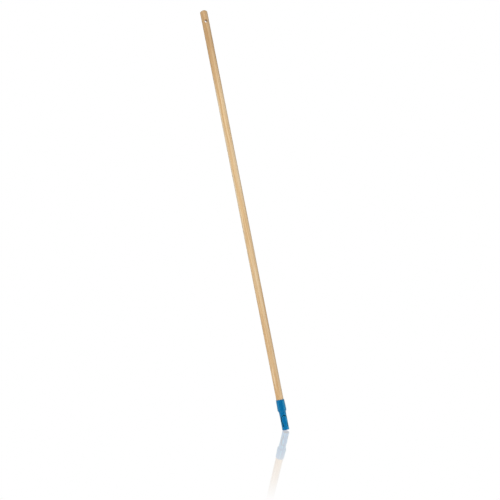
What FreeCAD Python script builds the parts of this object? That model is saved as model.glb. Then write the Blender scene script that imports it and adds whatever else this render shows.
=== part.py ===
"""Wooden mop handle with a moulded snap coupling at its lower end.

The handle stands along +Z. The origin is the centre of the coupling plug's lower end face, the release
tongue faces -Y, the hanging hole is drilled along Y and the fixing screw goes in from +Y.
"""
import FreeCAD, Part
import math
import os

# ---- Driving sizes, in millimetres and degrees ----
OVERALL_LENGTH = 1400.0  # plug end to the crown of the dome

STICK_DIAMETER = 24.0
DOME_HEIGHT = 6.0
DOME_EDGE_RADIUS = 1.2
STICK_TAPER_LENGTH = 6.0  # the cone turned on the end that goes into the collar

HANGING_HOLE_DIAMETER = 10.0
HANGING_HOLE_FROM_TOP = 38.0

PLUG_LENGTH = 57.0
PLUG_DIAMETER = 23.0
PLUG_WALL = 2.0
PLUG_END_CHAMFER = 0.8
NOSE_LAND_HEIGHT = 9.0  # the plug is full size up to here
SHOULDER_LAND_HEIGHT = 7.0  # and over this height under the shoulder
LAND_RELIEF = 0.2  # radial, the plug's middle is this much under the two lands
SHOULDER_HEIGHT = 10.0
SEAT_WALL = 1.95  # round the stick's end, where the plug meets the shoulder
COLLAR_HEIGHT = 33.0
COLLAR_BASE_WALL = 2.7
COLLAR_TOP_WALL = 1.8
COLLAR_WEB = 3.0  # floor between the hollow plug and the stick's seat
RIM_RADIUS = 0.9
RIM_BAND_HEIGHT = 3.0
RIM_GROOVE_DEPTH = 0.45
RIM_GROOVE_HEIGHT = 0.9
SOCKET_INTERFERENCE = 0.05  # radial, the stick is driven into the collar

SLOT_WIDTH = 2.8  # along the plug's surface, all round the tongue
SLOT_TO_SHOULDER_LAND = 1.1
NOSE_LAND_TO_ROOT = 2.5
WAIST_ABOVE_ROOT = 5.0
BULB_ABOVE_ROOT = 18.0
DOME_BELOW_TIP = 3.8
CROWN_BELOW_TIP = 0.3
ROOT_HALF_ANGLE = 40.4  # these five are the tongue's half-widths as angles on the plug's bore
WAIST_HALF_ANGLE = 36.45
BULB_HALF_ANGLE = 70.9
DOME_HALF_ANGLE = 45.9
CROWN_HALF_ANGLE = 24.4
FLAT_HALF_ANGLE = 47.65  # outside this angle the back of the tongue is flat
BUTTON_PROUD = 2.0  # how far the bulb stands out of the plug's surface
BUTTON_TIP_PROUD = 0.9
RAMP_ABOVE_ROOT = 1.5
CREST_ABOVE_ROOT = 17.0  # where the ramp meets the crest
CREST_END_BELOW_TIP = 4.6
BUTTON_EDGE_RADIUS = 1.2  # rounding of the button's rim
HINGE_BEHIND_ROOT = 0.25  # the line the tongue turns about lies this far behind its root's inner corners
CREST_SUNK_WHEN_PRESSED = 0.51  # the crest's lower end goes this far under the plug's surface
SLOT_BEHIND_BULB = 0.1  # the slot's flanks reach this far behind the back of the pressed bulb

RIB_THICKNESS = 2.0
RIB_BELOW_TIP = 16.1
RIB_CLEARANCE = 0.3

SCREW_HEAD_DIAMETER = 6.6
SCREW_SHANK_DIAMETER = 3.5
SCREW_CORE_DIAMETER = 2.5
SCREW_LENGTH = 16.0
SCREW_TIP_LENGTH = 3.0
SCREW_THREAD_PITCH = 1.4
SCREW_CLEARANCE = 0.15
SCREW_HEAD_SUNK = 0.2
SCREW_RECESS_WIDTH = 0.9
SCREW_RECESS_SPAN = 3.4
SCREW_RECESS_DEPTH = 1.1
SCREW_UP_COLLAR = 16.0  # from the collar's lower edge

# ---- Sizes that follow from them ----
STICK_RADIUS = STICK_DIAMETER / 2
SOCKET_RADIUS = STICK_RADIUS - SOCKET_INTERFERENCE
PLUG_RADIUS = PLUG_DIAMETER / 2
MIDDLE_RADIUS = PLUG_RADIUS - LAND_RELIEF
PLUG_BORE_RADIUS = PLUG_RADIUS - PLUG_WALL
SEAT_RADIUS = PLUG_RADIUS - SEAT_WALL
STICK_END_RADIUS = SEAT_RADIUS + SOCKET_INTERFERENCE
COLLAR_BASE_RADIUS = STICK_RADIUS + COLLAR_BASE_WALL
COLLAR_TOP_RADIUS = STICK_RADIUS + COLLAR_TOP_WALL
COLLAR_BASE_HEIGHT = PLUG_LENGTH + SHOULDER_HEIGHT
COLLAR_TOP_HEIGHT = COLLAR_BASE_HEIGHT + COLLAR_HEIGHT
SEAT_HEIGHT = PLUG_LENGTH + COLLAR_WEB
TAPER_TOP_HEIGHT = SEAT_HEIGHT + STICK_TAPER_LENGTH
DOME_EDGE_HEIGHT = OVERALL_LENGTH - DOME_HEIGHT
HOLE_HEIGHT = OVERALL_LENGTH - HANGING_HOLE_FROM_TOP
SCREW_HEIGHT = COLLAR_BASE_HEIGHT + SCREW_UP_COLLAR
MIDDLE_TOP_HEIGHT = PLUG_LENGTH - SHOULDER_LAND_HEIGHT
TIP_HEIGHT = MIDDLE_TOP_HEIGHT - SLOT_TO_SHOULDER_LAND - SLOT_WIDTH
ROOT_HEIGHT = NOSE_LAND_HEIGHT + NOSE_LAND_TO_ROOT
TONGUE_TRAVEL = math.asin((BUTTON_PROUD + CREST_SUNK_WHEN_PRESSED) / CREST_ABOVE_ROOT)
REACH = 2 * (PLUG_RADIUS + COLLAR_BASE_RADIUS)  # longer than any cut has to be
SAME = 0.01  # two places nearer than this are one
EDGE_SAMPLES = 400  # points along the tongue's edge


def vector(x, y, z):
    return FreeCAD.Vector(x, y, z)


def line(start, end):
    return Part.LineSegment(vector(start[0], 0, start[1]), vector(end[0], 0, end[1])).toShape()


def arc(start, middle, end):
    return Part.Arc(*(vector(p[0], 0, p[1]) for p in (start, middle, end))).toShape()


def turned(edges):
    """A solid of revolution about Z from edges drawn as (radius, height)."""
    face = Part.Face(Part.Wire(Part.__sortEdges__(edges)))
    return face.revolve(vector(0, 0, 0), vector(0, 0, 1), 360)


def turned_polygon(points):
    return turned([line(a, b) for a, b in zip(points, points[1:] + points[:1])])


def ogee(start, end):
    """Two equal arcs in an S, upright at both ends."""
    rise, run = end[1] - start[1], end[0] - start[0]
    radius = (rise**2 + run**2) / (4 * run)
    quarter = math.asin(rise / (2 * radius)) / 2
    middle = (start[0] + run / 2, start[1] + rise / 2)
    inset, climb = radius * (1 - math.cos(quarter)), radius * math.sin(quarter)
    return [
        arc(start, (start[0] + inset, start[1] + climb), middle),
        arc(middle, (end[0] - inset, end[1] - climb), end),
    ]


def rolled_in(start, end):
    """One arc, upright at its start, that leans in towards the axis."""
    rise, run = end[1] - start[1], start[0] - end[0]
    radius = (rise**2 + run**2) / (2 * run)
    half = math.asin(rise / radius) / 2
    middle = (start[0] - radius * (1 - math.cos(half)), start[1] + radius * math.sin(half))
    return arc(start, middle, end)


def collar_radius(height):
    """The collar's straight taper, as a radius at a height."""
    share = (height - COLLAR_BASE_HEIGHT) / COLLAR_HEIGHT
    return COLLAR_BASE_RADIUS + share * (COLLAR_TOP_RADIUS - COLLAR_BASE_RADIUS)


# ---- Wooden handle: one turned stick, domed at the top, tapered where it enters the collar ----
def wooden_handle():
    sphere_radius = (STICK_RADIUS**2 + DOME_HEIGHT**2) / (2 * DOME_HEIGHT)
    half_angle = math.asin(STICK_RADIUS / sphere_radius) / 2
    sphere_height = OVERALL_LENGTH - sphere_radius
    half_way = (
        sphere_radius * math.sin(half_angle),
        sphere_height + sphere_radius * math.cos(half_angle),
    )
    seat_end = (STICK_END_RADIUS, SEAT_HEIGHT)
    taper_end = (STICK_RADIUS, TAPER_TOP_HEIGHT)
    dome_edge = (STICK_RADIUS, DOME_EDGE_HEIGHT)
    crown = (0, OVERALL_LENGTH)
    stick = turned(
        [
            line((0, SEAT_HEIGHT), seat_end),
            line(seat_end, taper_end),
            line(taper_end, dome_edge),
            arc(dome_edge, half_way, crown),
            line(crown, (0, SEAT_HEIGHT)),
        ]
    )
    rim = [
        edge
        for edge in stick.Edges
        if abs(edge.BoundBox.ZMin - DOME_EDGE_HEIGHT) < SAME and edge.BoundBox.ZLength < SAME
    ]
    stick = stick.makeFillet(DOME_EDGE_RADIUS, rim)
    hole = Part.makeCylinder(
        HANGING_HOLE_DIAMETER / 2, REACH, vector(0, -REACH / 2, HOLE_HEIGHT), vector(0, 1, 0)
    )
    pilot = Part.makeCylinder(
        SCREW_CORE_DIAMETER / 2, SCREW_LENGTH, screw_top(), vector(0, -1, 0)
    )
    return stick.cut(hole).cut(pilot)


# ---- Release tongue: an outline shared by the tongue and by the slot round it ----
def on_bore(half_angle):
    """How far to the side, and how far in front of the axis, a point of the bore lies."""
    angle = math.radians(half_angle)
    return PLUG_BORE_RADIUS * math.sin(angle), PLUG_BORE_RADIUS * math.cos(angle)


def half_width(half_angle, gap):
    """A half-width of the tongue, widened by a gap that is measured along the plug's surface."""
    side, _ = on_bore(half_angle)
    return PLUG_RADIUS * math.sin(math.asin(side / PLUG_RADIUS) + gap / PLUG_RADIUS)


def pear_curve(gap, depth):
    """The tongue's edge widened by gap, from one corner of the root over the tip to the other."""
    stations = (
        (ROOT_HALF_ANGLE, ROOT_HEIGHT),
        (WAIST_HALF_ANGLE, ROOT_HEIGHT + WAIST_ABOVE_ROOT),
        (BULB_HALF_ANGLE, ROOT_HEIGHT + BULB_ABOVE_ROOT),
        (DOME_HALF_ANGLE, TIP_HEIGHT - DOME_BELOW_TIP),
        (CROWN_HALF_ANGLE, TIP_HEIGHT - CROWN_BELOW_TIP),
    )
    right = [vector(half_width(angle, gap), -depth, height) for angle, height in stations]
    top = vector(0, -depth, TIP_HEIGHT + gap)
    left = [vector(-p.x, -depth, p.z) for p in reversed(right)]
    curve = Part.BSplineCurve()
    curve.interpolate(right + [top] + left)
    return curve


def outline_prism(gap, depth):
    """The tongue's outline widened by gap and carried outwards from depth in front of the axis."""
    curve = pear_curve(gap, depth)
    root = Part.LineSegment(curve.EndPoint, curve.StartPoint)
    outline = Part.Face(Part.Wire([curve.toShape(), root.toShape()]))
    return outline.extrude(vector(0, -REACH, 0))


def nearest_to_axis(edge):
    return min(math.hypot(point.x, point.y) for point in edge.discretize(9))


def release_tongue():
    crest = PLUG_RADIUS + BUTTON_PROUD
    over_tip = TIP_HEIGHT + SLOT_WIDTH / 2
    root_inside = (PLUG_BORE_RADIUS, ROOT_HEIGHT)
    root_outside = (MIDDLE_RADIUS, ROOT_HEIGHT)
    ramp_start = (MIDDLE_RADIUS, ROOT_HEIGHT + RAMP_ABOVE_ROOT)
    crest_start = (crest, ROOT_HEIGHT + CREST_ABOVE_ROOT)
    crest_end = (crest, TIP_HEIGHT - CREST_END_BELOW_TIP)
    end_outside = (PLUG_RADIUS + BUTTON_TIP_PROUD, over_tip)
    end_inside = (PLUG_BORE_RADIUS, over_tip)
    edges = [line(root_inside, root_outside), line(root_outside, ramp_start)]
    edges += ogee(ramp_start, crest_start)
    edges += [line(crest_start, crest_end), rolled_in(crest_end, end_outside)]
    edges += [line(end_outside, end_inside), line(end_inside, root_inside)]
    _, flat_depth = on_bore(FLAT_HALF_ANGLE)
    tongue = turned(edges).common(outline_prism(0, flat_depth)).Solids[0]
    rim = [
        edge
        for edge in tongue.Edges
        if edge.BoundBox.ZLength > SAME and nearest_to_axis(edge) > MIDDLE_RADIUS - SAME
    ]
    return tongue.makeFillet(BUTTON_EDGE_RADIUS, rim)


def hinge_depth():
    """How far in front of the axis the line lies that the tongue turns about."""
    _, corner_depth = on_bore(ROOT_HALF_ANGLE)
    return corner_depth - HINGE_BEHIND_ROOT


def depth_when_pressed(depth, height):
    """How far in front of the axis a point of the tongue lies at the end of its travel."""
    before_hinge, above_hinge = depth - hinge_depth(), height - ROOT_HEIGHT
    return (
        hinge_depth() + before_hinge * math.cos(TONGUE_TRAVEL) - above_hinge * math.sin(TONGUE_TRAVEL)
    )


def slot_ledge_depth():
    """How far in front of the axis the slot's flanks stop: behind all of the pressed tongue's back that
    stands wider than the bore."""
    _, flat_depth = on_bore(FLAT_HALF_ANGLE)
    edge = pear_curve(0, flat_depth).discretize(EDGE_SAMPLES)
    spots = [(point.x, depth_when_pressed(flat_depth, point.z)) for point in edge]
    wide = [depth for side, depth in spots if math.hypot(side, depth) > PLUG_BORE_RADIUS]
    return min(wide, default=flat_depth) - SLOT_BEHIND_BULB


# ---- Coupling body: collar, shoulder and hollow plug, one moulding ----
def coupling_outside():
    band_base = COLLAR_TOP_HEIGHT - RIM_BAND_HEIGHT
    groove_base = band_base - RIM_GROOVE_HEIGHT
    plug = [
        (0, COLLAR_TOP_HEIGHT),
        (0, 0),
        (PLUG_RADIUS - PLUG_END_CHAMFER, 0),
        (PLUG_RADIUS, PLUG_END_CHAMFER),
        (PLUG_RADIUS, NOSE_LAND_HEIGHT),
        (MIDDLE_RADIUS, NOSE_LAND_HEIGHT + LAND_RELIEF),
        (MIDDLE_RADIUS, MIDDLE_TOP_HEIGHT - LAND_RELIEF),
        (PLUG_RADIUS, MIDDLE_TOP_HEIGHT),
        (PLUG_RADIUS, PLUG_LENGTH),
    ]
    collar = [
        (COLLAR_BASE_RADIUS, COLLAR_BASE_HEIGHT),
        (collar_radius(groove_base), groove_base),
        (collar_radius(groove_base) - RIM_GROOVE_DEPTH, groove_base),
        (collar_radius(band_base) - RIM_GROOVE_DEPTH, band_base),
        (collar_radius(band_base), band_base),
        (COLLAR_TOP_RADIUS, COLLAR_TOP_HEIGHT - RIM_RADIUS),
        (COLLAR_TOP_RADIUS - RIM_RADIUS, COLLAR_TOP_HEIGHT),
        (0, COLLAR_TOP_HEIGHT),
    ]
    edges = [line(a, b) for a, b in zip(plug, plug[1:])]
    edges += ogee(plug[-1], collar[0])
    edges += [line(a, b) for a, b in zip(collar, collar[1:])]
    return turned(edges)


def stop_rib():
    """A rib across the back of the bore, which the tongue's tip meets when it is pressed in."""
    front = RIB_CLEARANCE - depth_when_pressed(PLUG_BORE_RADIUS, TIP_HEIGHT)
    base = TIP_HEIGHT - RIB_BELOW_TIP
    return Part.makeBox(
        RIB_THICKNESS,
        PLUG_BORE_RADIUS + PLUG_WALL / 2 - front,
        PLUG_LENGTH + COLLAR_WEB / 2 - base,
        vector(-RIB_THICKNESS / 2, front, base),
    )


def coupling_body():
    socket = turned_polygon(
        [
            (0, SEAT_HEIGHT),
            (SEAT_RADIUS, SEAT_HEIGHT),
            (SOCKET_RADIUS, TAPER_TOP_HEIGHT),
            (SOCKET_RADIUS, COLLAR_TOP_HEIGHT),
            (0, COLLAR_TOP_HEIGHT),
        ]
    )
    bore = Part.makeCylinder(PLUG_BORE_RADIUS, PLUG_LENGTH)
    body = coupling_outside().cut(socket).cut(bore).fuse(stop_rib())
    ledge_depth = slot_ledge_depth()
    body = body.cut(outline_prism(SLOT_WIDTH, ledge_depth))
    inner, outer = half_width(ROOT_HALF_ANGLE, 0), half_width(ROOT_HALF_ANGLE, SLOT_WIDTH)
    for side in (-1, 1):
        end = vector(side * (inner + outer) / 2, -ledge_depth, ROOT_HEIGHT)
        body = body.cut(Part.makeCylinder((outer - inner) / 2, REACH, end, vector(0, -1, 0)))
    return body.cut(screw_space())


# ---- Fixing screw: countersunk, through the back of the collar into the stick ----
def screw_top():
    """The middle of the screw's head, sunk a little below the collar's surface."""
    return vector(0, collar_radius(SCREW_HEIGHT) - SCREW_HEAD_SUNK, SCREW_HEIGHT)


def laid_in(shape):
    """Turns a screw made along -Z from the origin to lie along -Y with its head at the collar."""
    shape.rotate(vector(0, 0, 0), vector(1, 0, 0), -90)
    shape.translate(screw_top())
    return shape


def screw_space():
    """The countersink and the through hole in the collar."""
    grown_head = SCREW_HEAD_DIAMETER / 2 + SCREW_CLEARANCE
    grown_shank = SCREW_SHANK_DIAMETER / 2 + SCREW_CLEARANCE
    above = SCREW_HEAD_SUNK * 2
    cone_end = -(SCREW_HEAD_DIAMETER - SCREW_SHANK_DIAMETER) / 2
    through = cone_end - (collar_radius(SCREW_HEIGHT) - SOCKET_RADIUS)
    return laid_in(
        turned_polygon(
            [
                (0, above),
                (grown_head, above),
                (grown_head, 0),
                (grown_shank, cone_end),
                (grown_shank, through),
                (0, through),
            ]
        )
    )


def fixing_screw():
    """Head, core and a thread drawn as rings one pitch apart, with a cross recess in the head."""
    head, shank, core = SCREW_HEAD_DIAMETER / 2, SCREW_SHANK_DIAMETER / 2, SCREW_CORE_DIAMETER / 2
    neck = head - core
    thread_end = SCREW_LENGTH - SCREW_TIP_LENGTH
    flank = SCREW_THREAD_PITCH / 4
    rings = int((thread_end - neck + flank) / SCREW_THREAD_PITCH)
    profile = [(0, 0), (head, 0), (core, -neck)]
    for ring in range(rings):
        ridge = -neck - ring * SCREW_THREAD_PITCH - 2 * flank
        profile += [(core, ridge + flank), (shank, ridge), (core, ridge - flank)]
    profile += [(core, -thread_end), (0, -SCREW_LENGTH)]
    screw = turned_polygon(profile)
    span, width = SCREW_RECESS_SPAN, SCREW_RECESS_WIDTH
    for across, along in ((span, width), (width, span)):
        corner = vector(-across / 2, -along / 2, -SCREW_RECESS_DEPTH)
        screw = screw.cut(Part.makeBox(across, along, SCREW_RECESS_DEPTH, corner))
    return laid_in(screw)


NODES = {
    "wooden_handle": wooden_handle(),
    "coupling_body": coupling_body(),
    "release_tongue": release_tongue(),
    "fixing_screw": fixing_screw(),
}

os.makedirs("parts", exist_ok=True)
for name, shape in NODES.items():
    solid = shape.Solids[0] if len(shape.Solids) == 1 else shape
    solid.exportStep(f"parts/{name}.step")
    print(name, "solids", len(shape.Solids), "valid", shape.isValid(), "volume", round(shape.Volume, 1))
print("tongue hinge at y", round(-hinge_depth(), 3), "z", ROOT_HEIGHT)
print("tongue travel", round(math.degrees(TONGUE_TRAVEL), 2))
print("hanging hole at z", HOLE_HEIGHT)
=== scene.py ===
"""Looks of the wooden mop handle with its moulded snap coupling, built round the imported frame."""

import bmesh
import bpy
import math
import numpy as np
from mathutils import Matrix, Vector


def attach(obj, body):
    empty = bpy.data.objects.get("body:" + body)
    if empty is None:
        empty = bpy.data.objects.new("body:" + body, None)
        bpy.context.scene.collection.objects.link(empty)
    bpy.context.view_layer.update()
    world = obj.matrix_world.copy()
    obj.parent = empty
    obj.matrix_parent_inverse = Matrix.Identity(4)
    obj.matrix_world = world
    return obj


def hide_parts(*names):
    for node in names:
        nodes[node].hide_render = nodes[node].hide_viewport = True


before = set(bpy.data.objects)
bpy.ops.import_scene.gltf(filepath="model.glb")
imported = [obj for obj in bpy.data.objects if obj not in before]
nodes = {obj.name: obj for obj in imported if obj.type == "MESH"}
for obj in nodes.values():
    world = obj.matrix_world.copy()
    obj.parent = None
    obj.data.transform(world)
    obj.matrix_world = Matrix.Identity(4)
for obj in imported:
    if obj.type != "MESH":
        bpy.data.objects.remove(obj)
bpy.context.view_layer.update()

# ---------------------------------------------------------------------------------------------------
# The coupling: collar, shoulder and hollow plug in one injection moulding of blue polypropylene.
# It is driven on to the stick's end; its edges are eased by the mould and two fine parting lines
# run up its sides. A keyhole-shaped slot frees the tongue, and a countersink takes the screw.
# ---------------------------------------------------------------------------------------------------
PLUG_R, MIDDLE_R, BORE_R = 11.5, 11.3, 9.5  # mm, as are all lengths in this file up to the mesh
PLUG_TOP, SHOULDER_TOP, COLLAR_TOP = 57.0, 67.0, 100.0
COLLAR_BASE_R, COLLAR_TOP_R, SOCKET_R, SEAT_R = 14.7, 13.8, 11.95, 9.55
SEAT_Z, TAPER_Z = 60.0, 66.0
BAND_Z, GROOVE_Z, GROOVE_DEPTH = 97.0, 96.1, 0.45
NOSE_LAND_Z, UPPER_LAND_Z, RELIEF = 9.0, 50.0, 0.2
SLOT_WIDTH, ROOT_Z, TIP_Z = 2.8, 11.5, 46.1
TONGUE_STATIONS = ((40.4, 11.5), (36.45, 16.5), (70.9, 29.5), (45.9, 42.3), (24.4, 45.8))
LEDGE_DEPTH = 2.834
RIB = ((-1.0, -4.06, 30.0), (1.0, 10.5, 58.5))  # the stop rib inside, lowest and highest corner
EASED = 0.3  # radius of an eased edge in the mould
AROUND = 120  # columns round the coupling


def eased_profile(corners, steps=4):
    """A polyline (r, z) with each corner rounded: the corner V between A and B, which lie the corner's
    own ease before and after it, becomes the quadratic curve (1-s)^2 A + 2s(1-s) V + s^2 B."""
    out = []
    s = np.linspace(0, 1, steps + 1)[:, None]
    for k, (r, z, ease) in enumerate(corners):
        v = np.array((r, z))
        if ease == 0 or k in (0, len(corners) - 1):
            out.append(v[None])
            continue
        before = np.array(corners[k - 1][:2]) - v
        after = np.array(corners[k + 1][:2]) - v
        a = v + before / np.linalg.norm(before) * ease
        b = v + after / np.linalg.norm(after) * ease
        out.append((1 - s) ** 2 * a + 2 * s * (1 - s) * v + s**2 * b)
    return np.concatenate(out)


class Shell:
    """Gathers the points and faces of one closed mesh from index grids and rings."""

    def __init__(self):
        self.points, self.faces, self.count = [], [], 0

    def add(self, xyz):
        """Adds points of any grid shape and returns their indices in that shape."""
        flat = xyz.reshape(-1, 3)
        self.points.append(flat)
        self.count += len(flat)
        return np.arange(self.count - len(flat), self.count).reshape(xyz.shape[:-1])

    def band(self, ring_a, ring_b):
        """Quads between two closed rings with the same number of points."""
        a, b = np.roll(ring_a, -1), np.roll(ring_b, -1)
        self.faces += np.stack([ring_a, a, b, ring_b], 1).tolist()

    def cap(self, ring, tip):
        """A fan from a closed ring to one point."""
        self.faces += np.stack([ring, np.roll(ring, -1), np.full(len(ring), tip)], 1).tolist()

    def turned(self, profile, around, windows=()):
        """Profile (r, z) turned about Z: (r sin t, -r cos t, z), t = 0 at the front. Its two ends are on
        the axis. Cells inside a window (row from, row to, column from, column to) are left open."""
        t = np.arange(around) * 2 * np.pi / around
        r, z = profile[1:-1, :1], profile[1:-1, 1:]
        grid = self.add(np.stack([r * np.sin(t), -r * np.cos(t), z + 0 * t], -1))
        ends = self.add(np.array([[0, 0, profile[0, 1]], [0, 0, profile[-1, 1]]]))
        self.cap(grid[0], ends[0])
        self.cap(grid[-1], ends[1])
        row, col = np.meshgrid(np.arange(len(grid) - 1), np.arange(around), indexing="ij")
        keep = np.ones(row.shape, bool)
        for r0, r1, c0, c1 in windows:
            inside = (col - c0) % around < (c1 - c0) % around
            keep &= ~((row >= r0) & (row < r1) & inside)
        row, col = row[keep], col[keep]
        nxt = (col + 1) % around
        self.faces += np.stack([grid[row, col], grid[row, nxt], grid[row + 1, nxt], grid[row + 1, col]], 1).tolist()
        return grid

    def rim(self, grid, window):
        """Indices round a window's edge, from its lower left corner: along, up, back and down."""
        r0, r1, c0, c1 = window
        around = grid.shape[1]
        cols = np.arange(c0, c0 + (c1 - c0) % around + 1) % around
        low, high = grid[r0, cols], grid[r1, cols]
        right, left = grid[r0 : r1 + 1, cols[-1]], grid[r0 : r1 + 1, cols[0]]
        return np.concatenate([low[:-1], right[:-1], high[:0:-1], left[:0:-1]])

    def mesh(self, name):
        """The mesh in metres, with its faces turned outwards."""
        mesh = bpy.data.meshes.new(name)
        mesh.from_pydata((np.concatenate(self.points) / 1000).tolist(), [], self.faces)
        work = bmesh.new()
        work.from_mesh(mesh)
        bmesh.ops.recalc_face_normals(work, faces=work.faces)
        work.to_mesh(mesh)
        work.free()
        mesh.shade_smooth()
        return mesh


def along(path, share):
    """Points at the given shares of a polyline's length."""
    length = np.concatenate([[0], np.cumsum(np.linalg.norm(np.diff(path, axis=0), axis=1))])
    return np.stack([np.interp(share * length[-1], length, path[:, k]) for k in (0, 1)], 1)


def spread(outline, counts):
    """An outline given as four chains, resampled to the counts of a window's four sides."""
    return np.concatenate([along(chain, np.arange(n) / n) for chain, n in zip(outline, counts)])


def moved_out(loop, distance):
    """A closed anticlockwise loop of (x, z), each point moved outwards along its normal."""
    run = np.roll(loop, -1, 0) - np.roll(loop, 1, 0)
    run /= np.linalg.norm(run, axis=1)[:, None]
    return loop + distance * np.stack([run[:, 1], -run[:, 0]], 1)


def front(xz, radius):
    """Points (x, z) laid straight back on to the front of a cylinder: y = -sqrt(radius^2 - x^2)."""
    return np.stack([xz[:, 0], -np.sqrt(radius**2 - xz[:, 0] ** 2), xz[:, 1]], 1)


def wrapped(shell, border, loop, radius, rings, sense=1):
    """Rings on a cylinder from a window's border in to a loop: angle and height change evenly from one
    to the other. Returns the loop's indices. sense is -1 where the window is at the back."""
    points = np.concatenate(shell.points)[border]
    t0, z0 = np.arctan2(points[:, 0], -sense * points[:, 1]), points[:, 2]
    t1, z1 = np.arcsin(loop[:, 0] / radius(loop[:, 1])), loop[:, 1]
    ring = border
    for share in np.linspace(0, 1, rings + 1)[1:]:
        t, z = t0 + (t1 - t0) * share, z0 + (z1 - z0) * share
        r = radius(z)
        inner = shell.add(np.stack([r * np.sin(t), -sense * r * np.cos(t), z], 1))
        shell.band(ring, inner)
        ring = inner
    return ring


def natural_spline(x, y, at):
    """A natural cubic spline through the points (x, y): its second derivative is nought at both ends
    and changes in a straight line between points."""
    h = np.diff(x)
    n = len(x)
    a = np.eye(n)
    b = np.zeros(n)
    for k in range(1, n - 1):
        a[k, k - 1 : k + 2] = h[k - 1], 2 * (h[k - 1] + h[k]), h[k]
        b[k] = 6 * ((y[k + 1] - y[k]) / h[k] - (y[k] - y[k - 1]) / h[k - 1])
    m = np.linalg.solve(a, b)
    k = np.clip(np.searchsorted(x, at) - 1, 0, n - 2)
    lo, hi = at - x[k], x[k + 1] - at
    return (
        (m[k] * hi**3 + m[k + 1] * lo**3) / (6 * h[k])
        + (y[k] / h[k] - m[k] * h[k] / 6) * hi
        + (y[k + 1] / h[k] - m[k + 1] * h[k] / 6) * lo
    )


def slot_outline():
    """The slot's outer edge as four chains: round both slot ends and along the root, up the right
    flank, over the top, down the left flank. Half-widths are arcs on the plug, plus the slot's width."""
    side = BORE_R * np.sin(np.radians([a for a, _ in TONGUE_STATIONS]))
    inner = side[0]
    half = PLUG_R * np.sin(np.arcsin(side / PLUG_R) + SLOT_WIDTH / PLUG_R)
    x = np.concatenate([half, [0], -half[::-1]])
    z = np.array([z for _, z in TONGUE_STATIONS])
    z = np.concatenate([z, [TIP_Z + SLOT_WIDTH], z[::-1]])
    chord = np.concatenate([[0], np.cumsum(np.hypot(np.diff(x), np.diff(z)))])
    at = np.linspace(0, chord[-1], 600)
    pear = np.stack([natural_spline(chord, x, at), natural_spline(chord, z, at)], 1)
    end_x, end_r = (inner + half[0]) / 2, (half[0] - inner) / 2
    a = np.linspace(np.pi, 2 * np.pi, 40)
    end = np.stack([end_x + end_r * np.cos(a), ROOT_Z + end_r * np.sin(a)], 1)
    mirrored = end[::-1] * (-1, 1)
    bottom = np.concatenate([mirrored, end])
    corner = int(np.argmin(np.abs(pear[:300, 1] - 44.0)))
    return bottom, pear[: corner + 1], pear[corner : 600 - corner], pear[599 - corner :]


ogee_s = np.linspace(0, 1, 17)
ogee_share = np.where(ogee_s < 0.5, 2 * ogee_s**2, 1 - 2 * (1 - ogee_s) ** 2)
ogee_rows = [
    (PLUG_R + (COLLAR_BASE_R - PLUG_R) * b, PLUG_TOP + (SHOULDER_TOP - PLUG_TOP) * s, 0)
    for s, b in zip(ogee_s, ogee_share)
]
taper = np.array([COLLAR_BASE_R, COLLAR_TOP_R])


def collar_r(z):
    return np.interp(z, [SHOULDER_TOP, COLLAR_TOP], taper)


WINDOW_LOW, WINDOW_HIGH = 9.6, 49.4
SCREW_Z, SCREW_HEAD_R, SCREW_HOLE_R, SCREW_SUNK = 83.0, 3.45, 1.9, 0.2
bore_rows = [(BORE_R, z, 0) for z in np.linspace(WINDOW_HIGH, WINDOW_LOW, 21)]
plug_rows = [(MIDDLE_R, z, 0) for z in np.linspace(WINDOW_LOW, WINDOW_HIGH, 25)]
collar_rows = [(float(collar_r(z)), z, 0) for z in np.linspace(SCREW_Z - 4.5, SCREW_Z + 4.5, 13)]
coupling_corners = (
    [(0, PLUG_TOP, 0), (BORE_R, PLUG_TOP, EASED)]
    + bore_rows
    + [(BORE_R, 0, EASED), (PLUG_R - 0.8, 0, EASED), (PLUG_R, 0.8, EASED)]
    + [(PLUG_R, NOSE_LAND_Z, 0.12), (MIDDLE_R, NOSE_LAND_Z + RELIEF, 0.12)]
    + plug_rows
    + [(MIDDLE_R, UPPER_LAND_Z - RELIEF, 0.12), (PLUG_R, UPPER_LAND_Z, 0.12)]
    + ogee_rows
    + [(float(collar_r(z)), z, 0) for z in (70, 74)]
    + collar_rows
    + [(float(collar_r(z)), z, 0) for z in (91, 94)]
    + [(float(collar_r(GROOVE_Z)), GROOVE_Z, 0.2), (float(collar_r(GROOVE_Z)) - GROOVE_DEPTH, GROOVE_Z, 0.15)]
    + [(float(collar_r(BAND_Z)) - GROOVE_DEPTH, BAND_Z, 0.15), (float(collar_r(BAND_Z)), BAND_Z, 0.2)]
    + [(COLLAR_TOP_R, COLLAR_TOP, 0.9), (SOCKET_R, COLLAR_TOP, EASED)]
    + [(SOCKET_R, TAPER_Z, 0), (SEAT_R, SEAT_Z, 0), (0, SEAT_Z, 0)]
)
profile = eased_profile(coupling_corners)
inside = profile[1:-1]


def rows_at(rows, first):
    """Where a run of rows starts and ends in the turned grid, searching from a row onwards."""
    start = first + int(np.argmin(np.hypot(*(inside[first:] - rows[0][:2]).T)))
    return start, start + len(rows) - 1


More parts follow.
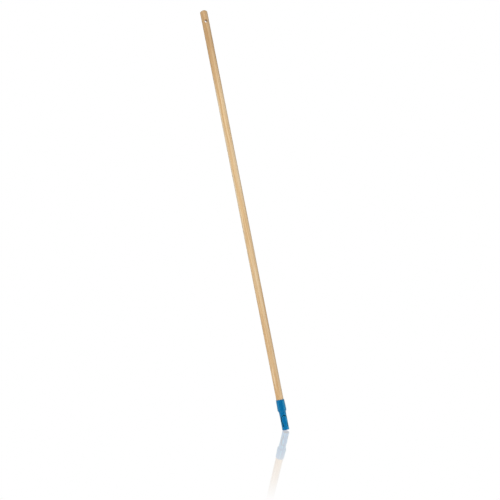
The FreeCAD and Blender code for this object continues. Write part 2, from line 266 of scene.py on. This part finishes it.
bore_window = (*rows_at(bore_rows, 0), AROUND - 28, 28)
plug_window = (*rows_at(plug_rows, bore_window[1]), AROUND - 26, 26)
screw_window = (*rows_at(collar_rows, plug_window[1]), AROUND // 2 - 6, AROUND // 2 + 6)
coupling = Shell()
grid = coupling.turned(profile, AROUND, (bore_window, plug_window, screw_window))
ridge = 0.06 * np.array([1.0 if c in (AROUND // 4, AROUND * 3 // 4) else 0.0 for c in range(AROUND)])
outer_rows = np.arange(len(inside)) >= bore_window[1] + 12
spots = coupling.points[0].reshape(len(inside), AROUND, 3)
lift = np.where(outer_rows[:, None] & (inside[:, :1] > SOCKET_R * 0.9), ridge, 0)
reach = np.hypot(spots[..., 0], spots[..., 1])
spots[..., :2] *= (1 + lift / reach)[..., None]

chains = slot_outline()
rim = coupling.rim(grid, plug_window)
loop = spread(chains, (52, 24, 52, 24))
ring = wrapped(coupling, rim, moved_out(loop, EASED), lambda z: MIDDLE_R + 0 * z, 5)
for turn in np.linspace(0, np.pi / 2, 5)[1:]:
    edge = front(moved_out(loop, EASED * (1 - math.sin(turn))), MIDDLE_R)
    edge[:, 1] += EASED * (1 - math.cos(turn))
    nxt = coupling.add(edge)
    coupling.band(ring, nxt)
    ring = nxt
shelf_x = math.sqrt(BORE_R**2 - LEDGE_DEPTH**2)
inner_loop = np.stack([np.clip(loop[:, 0], -shelf_x, shelf_x), loop[:, 1]], 1)
inner_y = front(inner_loop, BORE_R)[:, 1]
outer_y = front(loop, MIDDLE_R)[:, 1] + EASED
for share in (0.5, 1.0):
    wall = np.stack([loop[:, 0], outer_y + (inner_y - outer_y) * share, loop[:, 1]], 1)
    nxt = coupling.add(wall)
    coupling.band(ring, nxt)
    ring = nxt
bore_rim = coupling.rim(grid, bore_window)
bore_rim = np.roll(bore_rim[::-1], 57)
bore_ring = wrapped(coupling, bore_rim, inner_loop, lambda z: BORE_R + 0 * z, 3)
coupling.band(ring, bore_ring)

angle = np.arange(48) / 48 * 2 * np.pi - np.pi * 3 / 4
circle = np.stack([np.cos(angle), np.sin(angle)], 1)
rim = coupling.rim(grid, screw_window)
rim = rim if np.concatenate(coupling.points)[rim[0], 0] < 0 else rim
top_y = float(collar_r(SCREW_Z)) - SCREW_SUNK
head = SCREW_HEAD_R + 0.2
mirror = np.array([-1, 1])
back_loop = circle * head * mirror + (0, SCREW_Z)
ring = wrapped(coupling, rim, back_loop, collar_r, 3, sense=-1)
head_drop = SCREW_HEAD_R - SCREW_HOLE_R
for r, y in ((SCREW_HEAD_R, top_y), (SCREW_HOLE_R, top_y - head_drop), (SCREW_HOLE_R, SOCKET_R + 0.1)):
    spot = np.stack([-circle[:, 0] * r, np.full(48, y), SCREW_Z + circle[:, 1] * r], 1)
    nxt = coupling.add(spot)
    coupling.band(ring, nxt)
    ring = nxt
coupling.cap(ring, int(coupling.add(np.array([[0, SOCKET_R + 0.1, SCREW_Z]]))[0]))



def eased_block(low, high, ease, steps=6):
    """A block with rounded edges: a unit sphere's direction d, by longitude and latitude, is pushed out to
    sign(d) (half - ease) + ease d about the block's middle."""
    low, high = np.array(low), np.array(high)
    lon = (np.arange(4 * steps) + 0.5) / (4 * steps) * 2 * np.pi
    lat = (np.arange(2 * steps) + 0.5) / (2 * steps) * np.pi - np.pi / 2
    lat, lon = np.meshgrid(lat, lon, indexing="ij")
    d = np.stack([np.cos(lat) * np.cos(lon), np.cos(lat) * np.sin(lon), np.sin(lat)], -1)
    return (low + high) / 2 + np.sign(d) * ((high - low) / 2 - ease) + ease * d


block = eased_block(*RIB, 0.25)
rows = coupling.add(block)
for a, b in zip(rows, rows[1:]):
    coupling.band(a, b)
for row, share in ((rows[0], block[0]), (rows[-1], block[-1])):
    coupling.cap(row, int(coupling.add(share.mean(0)[None])[0]))


def linear(code):
    """An sRGB hex colour as linear red, green, blue and alpha."""
    value = np.array([int(code[k : k + 2], 16) for k in (1, 3, 5)]) / 255
    value = np.where(value <= 0.04045, value / 12.92, ((value + 0.055) / 1.055) ** 2.4)
    return (*value.tolist(), 1.0)


def put(tree, kind, inputs=None, stops=(), **settings):
    """Adds a node, gives it its settings, and sets or links its inputs by name or number. The stops of a
    colour ramp are pairs of place and hex colour or grey."""
    node = tree.nodes.new("ShaderNode" + kind)
    for name, value in settings.items():
        setattr(node, name, value)
    for key, value in (inputs or {}).items():
        if isinstance(value, bpy.types.NodeSocket):
            tree.links.new(value, node.inputs[key])
        else:
            node.inputs[key].default_value = value
    for k, (at, colour) in enumerate(stops):
        marks = node.color_ramp.elements
        mark = marks[k] if k < 2 else marks.new(at)
        mark.position = at
        mark.color = linear(colour) if isinstance(colour, str) else (colour, colour, colour, 1)
    return node


def new_material(name):
    """A material with a Principled shader alone, and its tree."""
    material = bpy.data.materials.new(name)
    material.use_nodes = True
    return material, material.node_tree, material.node_tree.nodes["Principled BSDF"]


def repeats(*sizes):
    """Repeats to the metre along each axis, from a pattern's sizes in millimetres."""
    return tuple(1000 / size for size in sizes)


def moulded_polypropylene(name, scuffs):
    """Blue polypropylene, injection moulded: satin, with a bloom at its edges where light enters the skin,
    flow shades 17 mm wide, scuffs 0.4 mm wide where it slides in its socket, and spark-eroded grain, drawn
    0.45 mm coarse so that it shows. Painted shade, with some dust, darkens the slot's walls and the bore, under
    the plug's surface."""
    material, tree, shader = new_material(name)
    place = put(tree, "TexCoord").outputs["Object"]
    spot = put(tree, "SeparateXYZ", {0: place}).outputs
    flow = put(tree, "Mapping", {"Vector": place, "Scale": repeats(17, 17, 71)}).outputs[0]
    cloud = put(tree, "TexNoise", {"Vector": flow, "Scale": 1.0, "Detail": 3.0}).outputs[0]
    body = put(tree, "ValToRGB", {0: cloud}, ((0.3, "#00548C"), (0.7, "#005E9A"))).outputs[0]
    streak = put(tree, "Mapping", {"Vector": place, "Scale": repeats(0.4, 0.4, 22)}).outputs[0]
    lines = put(tree, "TexNoise", {"Vector": streak, "Scale": 1.0, "Detail": 2.0}).outputs[0]
    lines = put(tree, "ValToRGB", {0: lines}, ((0.64, 0.0), (0.72, scuffs))).outputs[0]
    patch = put(tree, "TexNoise", {"Vector": place, "Scale": repeats(7)[0], "Detail": 2.0}).outputs[0]
    patch = put(tree, "ValToRGB", {0: patch}, ((0.45, 0.0), (0.62, 1.0))).outputs[0]
    marks = put(tree, "Math", {0: lines, 1: patch}, operation="MULTIPLY").outputs[0]
    colour = put(tree, "Mix", {0: marks, 6: body, 7: linear("#4F93BE")}, data_type="RGBA").outputs[2]
    flat = put(tree, "CombineXYZ", {0: spot[0], 1: spot[1]}).outputs[0]
    reach = put(tree, "VectorMath", {0: flat}, operation="LENGTH").outputs["Value"]
    # painted shade with some dust: below the plug's surface, on the slot's walls and in the bore, the colour turns
    # dark as if in shadow
    under = {"Value": reach, "From Min": 0.0107, "From Max": 0.0112, "To Min": 1.0, "To Max": 0.0}
    under = put(tree, "MapRange", under).outputs[0]
    within = put(tree, "MapRange", {"Value": spot[2], "From Min": 0.004, "From Max": 0.010}).outputs[0]
    slot_shade_and_dust = put(tree, "Math", {0: under, 1: within}, operation="MULTIPLY").outputs[0]
    # 000B26 is the painted shade's dark blue, with some dust
    colour = put(tree, "Mix", {0: slot_shade_and_dust, 6: colour, 7: linear("#000B26")}, data_type="RGBA").outputs[2]
    tree.links.new(colour, shader.inputs["Base Color"])
    grain_at = {"Vector": place, "Scale": repeats(0.45)[0], "Detail": 2.0, "Roughness": 0.6}
    grain = put(tree, "TexNoise", grain_at).outputs[0]
    rough = put(tree, "MapRange", {"Value": cloud, "To Min": 0.26, "To Max": 0.36}).outputs[0]
    rough = put(tree, "Math", {0: marks, 1: 0.25, 2: rough}, operation="MULTIPLY_ADD").outputs[0]
    rough = put(tree, "Math", {0: slot_shade_and_dust, 1: 0.5, 2: rough}, operation="MULTIPLY_ADD").outputs[0]
    tree.links.new(rough, shader.inputs["Roughness"])
    height = put(tree, "Math", {0: marks, 1: -0.6, 2: grain}, operation="MULTIPLY_ADD").outputs[0]
    bump = put(tree, "Bump", {"Height": height, "Strength": 0.35, "Distance": 0.00004}).outputs[0]
    tree.links.new(bump, shader.inputs["Normal"])
    shader.inputs["IOR"].default_value = 1.49
    shader.inputs["Specular Tint"].default_value = (0.1, 0.9, 0.8, 1)
    shader.inputs["Sheen Weight"].default_value = 0.55
    shader.inputs["Sheen Roughness"].default_value = 0.35
    shader.inputs["Sheen Tint"].default_value = (0.1, 0.85, 0.8, 1)
    return material


blue_plastic = moulded_polypropylene("moulded_polypropylene", 0.55)


def place_piece(name, shell, material, body, slot, *stands_for):
    """Makes a shell an object in its place on its body, and hides the imported parts that it stands for. Its slot
    is not used.
    """
    piece = bpy.data.objects.new(name, shell.mesh(name))
    bpy.context.scene.collection.objects.link(piece)
    piece.data.materials.append(material)
    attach(piece, body)
    if stands_for:
        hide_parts(*stands_for)
    return piece


place_piece("coupling", coupling, blue_plastic, "handle", "blue_plastic", "coupling_body")

# ---------------------------------------------------------------------------------------------------
# The release tongue: the pear-shaped spring tongue in the slot, part of the same moulding. Its raised
# bulb snaps into the mop frame's window, and a thumb presses it in; in the real part it bends at its root. Here it
# only gets its material.
# ---------------------------------------------------------------------------------------------------
tongue = nodes["release_tongue"]
tongue.data.materials.clear()
tongue.data.materials.append(moulded_polypropylene("moulded_polypropylene_rubbed", 0.9))

# ---------------------------------------------------------------------------------------------------
# The handle: one stick of pale softwood, turned, sanded and left unvarnished. Its domed top is end
# grain, it is cross-drilled to hang up, and its lower end is driven into the coupling.
# ---------------------------------------------------------------------------------------------------
STICK_R, STICK_TOP, DOME_Z, STICK_END_R = 12.0, 1400.0, 1394.0, 9.6
HOLE_R, HOLE_Z, HOLE_EASE = 5.0, 1362.0, 0.5
STICK_AROUND = 96

sphere_r = (STICK_R**2 + (STICK_TOP - DOME_Z) ** 2) / (2 * (STICK_TOP - DOME_Z))
edge_angle = math.asin(STICK_R / sphere_r)
dome = [
    (sphere_r * math.sin(a), STICK_TOP - sphere_r * (1 - math.cos(a)), 0)
    for a in edge_angle * np.linspace(0.9, 0.05, 12)
]
hole_rows = [(STICK_R, z, 0) for z in np.linspace(HOLE_Z - 7.5, HOLE_Z + 7.5, 21)]
stick_corners = (
    [(0, SEAT_Z, 0), (STICK_END_R, SEAT_Z, 0), (STICK_R, TAPER_Z, 0)]
    + [(STICK_R, z, 0) for z in np.linspace(80, 1345, 160)]
    + hole_rows
    + [(STICK_R, 1375, 0), (STICK_R, 1385, 0), (STICK_R, DOME_Z, 1.1)]
    + dome
    + [(0, STICK_TOP, 0)]
)
profile = eased_profile(stick_corners, 6)
inside = profile[1:-1]
hole_from, hole_to = rows_at(hole_rows, 0)
front_window = (hole_from, hole_to, STICK_AROUND - 9, 9)
back_window = (hole_from, hole_to, STICK_AROUND // 2 - 9, STICK_AROUND // 2 + 9)
stick = Shell()
grid = stick.turned(profile, STICK_AROUND, (front_window, back_window))
spots = stick.points[0].reshape(len(inside), STICK_AROUND, 3)
z, t = spots[..., 2], np.arctan2(spots[..., 0], -spots[..., 1])
uneven = 0.05 * np.sin(z / 61 + 2 * t) + 0.04 * np.sin(z / 23 + 1.0) + 0.03 * np.sin(z / 11 + 3 * t)
calm = np.clip((z - 102) / 40, 0, 1) * np.clip((1335 - z) / 40, 0, 1)
spots[..., :2] *= (1 + uneven * calm / STICK_R)[..., None]

angle = np.arange(76) / 76 * 2 * np.pi - np.pi * 3 / 4
corner = np.array([-6.67, HOLE_Z - 7.5])
circle = np.stack([np.cos(angle), np.sin(angle)], 1)


def stick_r(z):
    return STICK_R + 0 * z


mouths = []
for window, sense in ((front_window, 1), (back_window, -1)):
    rim = stick.rim(grid, window)
    side = np.array([sense, 1])
    ring = wrapped(stick, rim, circle * side * (HOLE_R + HOLE_EASE) + (0, HOLE_Z), stick_r, 4, sense)
    for turn in np.linspace(0, np.pi / 2, 5)[1:]:
        r = HOLE_R + HOLE_EASE * (1 - math.sin(turn))
        edge = front(circle * side * r + (0, HOLE_Z), STICK_R)
        edge[:, 1] = sense * (edge[:, 1] + HOLE_EASE * (1 - math.cos(turn)))
        nxt = stick.add(edge)
        stick.band(ring, nxt)
        ring = nxt
    mouths.append(ring)
where = np.concatenate(stick.points)[mouths[1]]
start = np.concatenate(stick.points)[mouths[0]][0]
back = mouths[1][::-1]
shift = int(np.argmin(np.hypot(*(np.concatenate(stick.points)[back][:, [0, 2]] - start[[0, 2]]).T)))
stick.band(mouths[0], np.roll(back, -shift))


def turned_softwood(name):
    """Pale softwood sawn along the grain, turned and sanded: growth rings 3.1 mm apart about a pith beside
    the stick show as long wandering streaks and as arcs on the domed end, with pores and fibres 0.2 mm wide,
    drawn coarse so that they show. Both ends are darker than the middle, the top end the more."""
    material, tree, shader = new_material(name)
    place = put(tree, "TexCoord").outputs["Object"]
    slow = put(tree, "Mapping", {"Vector": place, "Scale": repeats(33, 33, 450)}).outputs[0]
    sway = put(tree, "TexNoise", {"Vector": slow, "Scale": 1.0, "Detail": 3.0}).outputs[1]
    sway = put(tree, "VectorMath", {0: sway, 1: (0.5, 0.5, 0.5)}, operation="SUBTRACT").outputs[0]
    sway = put(tree, "VectorMath", {0: sway, 1: (0.014, 0.014, 0.0)}, operation="MULTIPLY").outputs[0]
    across = {"Vector": place, "Location": (0.021, 0.030, 0), "Scale": (1, 1, 0.004)}
    across = put(tree, "Mapping", across).outputs[0]
    bent = put(tree, "VectorMath", {0: across, 1: sway}, operation="ADD").outputs[0]
    pith = put(tree, "VectorMath", {0: bent}, operation="LENGTH").outputs["Value"]
    ring = put(tree, "Math", {0: pith, 1: repeats(3.1)[0]}, operation="MULTIPLY").outputs[0]
    ring = put(tree, "Math", {0: ring}, operation="FRACT").outputs[0]
    late_stops = ((0.0, 0.0), (0.45, 0.05), (0.86, 0.48), (1.0, 0.0))
    late = put(tree, "ValToRGB", {0: ring}, late_stops).outputs[0]
    fibre_at = put(tree, "Mapping", {"Vector": place, "Scale": repeats(0.2, 0.2, 11)}).outputs[0]
    fibre = {"Vector": fibre_at, "Scale": 1.0, "Detail": 3.0, "Roughness": 0.6}
    fibre = put(tree, "TexNoise", fibre).outputs[0]
    broad_at = put(tree, "Mapping", {"Vector": place, "Scale": repeats(8, 8, 260)}).outputs[0]
    broad = {"Vector": broad_at, "Scale": 1.0, "Detail": 4.0, "Roughness": 0.6}
    broad = put(tree, "TexNoise", broad).outputs[0]
    pore_at = put(tree, "Mapping", {"Vector": place, "Scale": repeats(0.3, 0.3, 6.7)}).outputs[0]
    pore = put(tree, "TexNoise", {"Vector": pore_at, "Scale": 1.0, "Detail": 1.0}).outputs[0]
    pores = put(tree, "ValToRGB", {0: pore}, ((0.66, 0.0), (0.74, 0.35))).outputs[0]
    wood_stops = ((0.3, "#D0A976"), (0.5, "#E8CA9E"), (0.68, "#F4E2C2"))
    colour = put(tree, "ValToRGB", {0: broad}, wood_stops).outputs[0]
    colour = put(tree, "Mix", {0: late, 6: colour, 7: linear("#B08650")}, data_type="RGBA").outputs[2]
    fibre_share = {"Value": fibre, "From Min": 0.35, "From Max": 0.7, "To Min": 0.0, "To Max": 0.22}
    fibre_share = put(tree, "MapRange", fibre_share).outputs[0]
    colour = put(tree, "Mix", {0: fibre_share, 6: colour, 7: linear("#A0773F")}, data_type="RGBA").outputs[2]
    colour = put(tree, "Mix", {0: pores, 6: colour, 7: linear("#8A6238")}, data_type="RGBA").outputs[2]
    height = put(tree, "SeparateXYZ", {0: place}).outputs[2]
    smear_at = put(tree, "Mapping", {"Vector": place, "Scale": repeats(25, 25, 110)}).outputs[0]
    smear = put(tree, "TexNoise", {"Vector": smear_at, "Scale": 1.0, "Detail": 4.0}).outputs[0]
    height = put(tree, "MapRange", {"Value": height, "From Max": 1.5}).outputs[0]
    height = put(tree, "Math", {0: smear, 1: 0.1, 2: height}, operation="MULTIPLY_ADD").outputs[0]
    # both ends of the stick are darker than the middle, the top end the more
    end_stops = ((0.16, 0.38), (0.35, 0.16), (0.55, 0.0), (0.78, 0.04), (0.92, 0.5))
    darker_ends = put(tree, "ValToRGB", {0: height}, end_stops).outputs[0]
    tan = {0: 1.0, 6: colour, 7: linear("#C9B49C")}
    tan = put(tree, "Mix", tan, data_type="RGBA", blend_type="MULTIPLY").outputs[2]
    colour = put(tree, "Mix", {0: darker_ends, 6: colour, 7: tan}, data_type="RGBA").outputs[2]
    tree.links.new(colour, shader.inputs["Base Color"])
    rough = put(tree, "MapRange", {"Value": fibre, "To Min": 0.42, "To Max": 0.62}).outputs[0]
    tree.links.new(rough, shader.inputs["Roughness"])
    relief = put(tree, "Math", {0: pores, 1: -2.3, 2: fibre}, operation="MULTIPLY_ADD").outputs[0]
    bump = put(tree, "Bump", {"Height": relief, "Strength": 0.5, "Distance": 0.00006}).outputs[0]
    tree.links.new(bump, shader.inputs["Normal"])
    shader.inputs["IOR"].default_value = 1.5
    shader.inputs["Specular IOR Level"].default_value = 0.15
    return material


place_piece("stick", stick, turned_softwood("turned_softwood"), "handle", "wood", "wooden_handle")

# ---------------------------------------------------------------------------------------------------
# The fixing screw: a zinc-plated countersunk wood screw, driven through the back of the collar into
# the stick. Only its head shows, with a cross recess.
# ---------------------------------------------------------------------------------------------------
def zinc_plated_steel(name):
    """Zinc plate over cold-headed steel: a pale grey mirror, broken by fine crystal mottling."""
    material, tree, shader = new_material(name)
    place = put(tree, "TexCoord").outputs["Object"]
    mottle = put(tree, "TexNoise", {"Vector": place, "Scale": repeats(0.7)[0], "Detail": 3.0}).outputs[0]
    colour = put(tree, "ValToRGB", {0: mottle}, ((0.35, "#A9ABA8"), (0.65, "#C9CAC6"))).outputs[0]
    tree.links.new(colour, shader.inputs["Base Color"])
    rough = put(tree, "MapRange", {"Value": mottle, "To Min": 0.22, "To Max": 0.42}).outputs[0]
    tree.links.new(rough, shader.inputs["Roughness"])
    bump = put(tree, "Bump", {"Height": mottle, "Strength": 0.3, "Distance": 0.00002}).outputs[0]
    tree.links.new(bump, shader.inputs["Normal"])
    shader.inputs["Metallic"].default_value = 1.0
    return material


screw = nodes["fixing_screw"]
screw.data.materials.clear()
screw.data.materials.append(zinc_plated_steel("zinc_plated_steel"))

# ---------------------------------------------------------------------------------------------------
# The studio: the stick leans back and to the left over a lit white glossy floor, seen from its
# tongue side by a long lens. White all round, with soft boxes at both sides and a dim front.
# ---------------------------------------------------------------------------------------------------
LEAN, LOOK_DOWN = math.radians(11.14), math.radians(11.5)
CAMERA_AT, AIM = Vector((-1.1940, -5.1619, 0.46)), Vector((-0.0015, 0.0003, 0.598))
VIEW_ANGLE = math.radians(17.54)
FLOOR_REACH = 0.7

ahead = (AIM - CAMERA_AT).normalized()
right = ahead.cross(Vector((0, 0, 1))).normalized()
up = right.cross(ahead)
tipped_up = up * math.cos(LEAN) + right * math.sin(LEAN)
tipped_right = right * math.cos(LEAN) - up * math.sin(LEAN)
camera = bpy.data.objects.new("camera", bpy.data.cameras.new("camera"))
camera.data.sensor_width = 36
camera.data.lens = 18 / math.tan(VIEW_ANGLE / 2)
camera.data.clip_end = 50
turn = Matrix((tipped_right, tipped_up, -ahead)).transposed().to_4x4()
camera.matrix_world = Matrix.Translation(CAMERA_AT) @ turn
bpy.context.scene.collection.objects.link(camera)
bpy.context.scene.camera = camera

floor_up = (tipped_up * math.cos(LOOK_DOWN) - ahead * math.sin(LOOK_DOWN)).normalized()
corners = np.array([v.co for v in nodes["coupling_body"].data.vertices])
tip = Vector(corners[int(np.argmin(corners @ np.array(floor_up)))])
side = tipped_right
deep = floor_up.cross(side).normalized()


def disc(reach, rings, around):
    """A flat disc, (r cos t, r sin t, 0), in metres, with r growing evenly."""
    r = np.linspace(0, reach, rings + 1)[1:, None]
    t = np.arange(around) / around * 2 * np.pi
    return np.stack([r * np.cos(t), r * np.sin(t), 0 * r * t], -1)


floor_shell = Shell()
rows = floor_shell.add(disc(FLOOR_REACH, 8, 96) * 1000)
for a, b in zip(rows, rows[1:]):
    floor_shell.band(a, b)
floor_shell.cap(rows[0], int(floor_shell.add(np.zeros((1, 3)))[0]))
floor = bpy.data.objects.new("floor", floor_shell.mesh("floor"))
bpy.context.scene.collection.objects.link(floor)
floor.matrix_world = Matrix.Translation(tip) @ Matrix((side, deep, floor_up)).transposed().to_4x4()

lit_acrylic, tree, shader = new_material("lit_white_acrylic")
tree.nodes.remove(shader)
place = put(tree, "TexCoord").outputs["Object"]
away = put(tree, "VectorMath", {0: place}, operation="LENGTH").outputs["Value"]
mirror_stops = ((0.0, 0.44), (0.19, 0.43), (0.34, 0.31), (0.46, 0.25), (0.66, 0.0))
mirror_share = put(tree, "ValToRGB", {0: away}, mirror_stops).outputs[0]
glow = put(tree, "Emission", {"Color": (1, 1, 1, 1), "Strength": 1.0}).outputs[0]
gloss = put(tree, "BsdfGlossy", {"Color": (1, 1, 1, 1), "Roughness": 0.04}).outputs[0]
both = put(tree, "MixShader", {0: mirror_share, 1: glow, 2: gloss}).outputs[0]
tree.links.new(both, tree.nodes["Material Output"].inputs["Surface"])
floor.data.materials.append(lit_acrylic)


def soft_box(name, place, size, power, lights, shines):
    """A square soft box at a place, aimed at the middle of the stick, that lights it, shines in its gloss,
    or both."""
    lamp = bpy.data.lights.new(name, "AREA")
    lamp.shape, lamp.size, lamp.energy = "SQUARE", size, power
    box = bpy.data.objects.new(name, lamp)
    box.location = place
    box.rotation_euler = (Vector((0, 0, 0.6)) - Vector(place)).to_track_quat("-Z", "Y").to_euler()
    box.visible_diffuse, box.visible_glossy = lights, shines
    bpy.context.scene.collection.objects.link(box)


soft_box("soft_box_left", (-1.2, -3.05, 1.6), 1.4, 80, True, True)
soft_box("soft_box_right", (2.8, -0.2, 1.2), 1.2, 5, True, True)
soft_box("soft_box_back", (0.6, 3.0, 1.8), 1.6, 30, True, False)
soft_box("card_left", (-2.2, -0.1, 0.4), 2.0, 38, False, True)
soft_box("card_right", (1.95, -1.05, 0.4), 2.0, 36, False, True)

world = bpy.data.worlds.new("white_room")
bpy.context.scene.world = world
world.use_nodes = True
tree = world.node_tree
for node in list(tree.nodes):
    tree.nodes.remove(node)
path = put(tree, "LightPath").outputs
plain = put(tree, "Math", {0: path["Is Camera Ray"], 1: path["Is Glossy Ray"]}, operation="MAXIMUM").outputs[0]
strength = put(tree, "MapRange", {"Value": plain, "To Min": 0.4, "To Max": 1.0}).outputs[0]
back = put(tree, "Background", {"Color": (1, 1, 1, 1), "Strength": strength})
tree.links.new(back.outputs[0], put(tree, "OutputWorld").inputs["Surface"])
bpy.context.scene.view_settings.view_transform = "Standard"
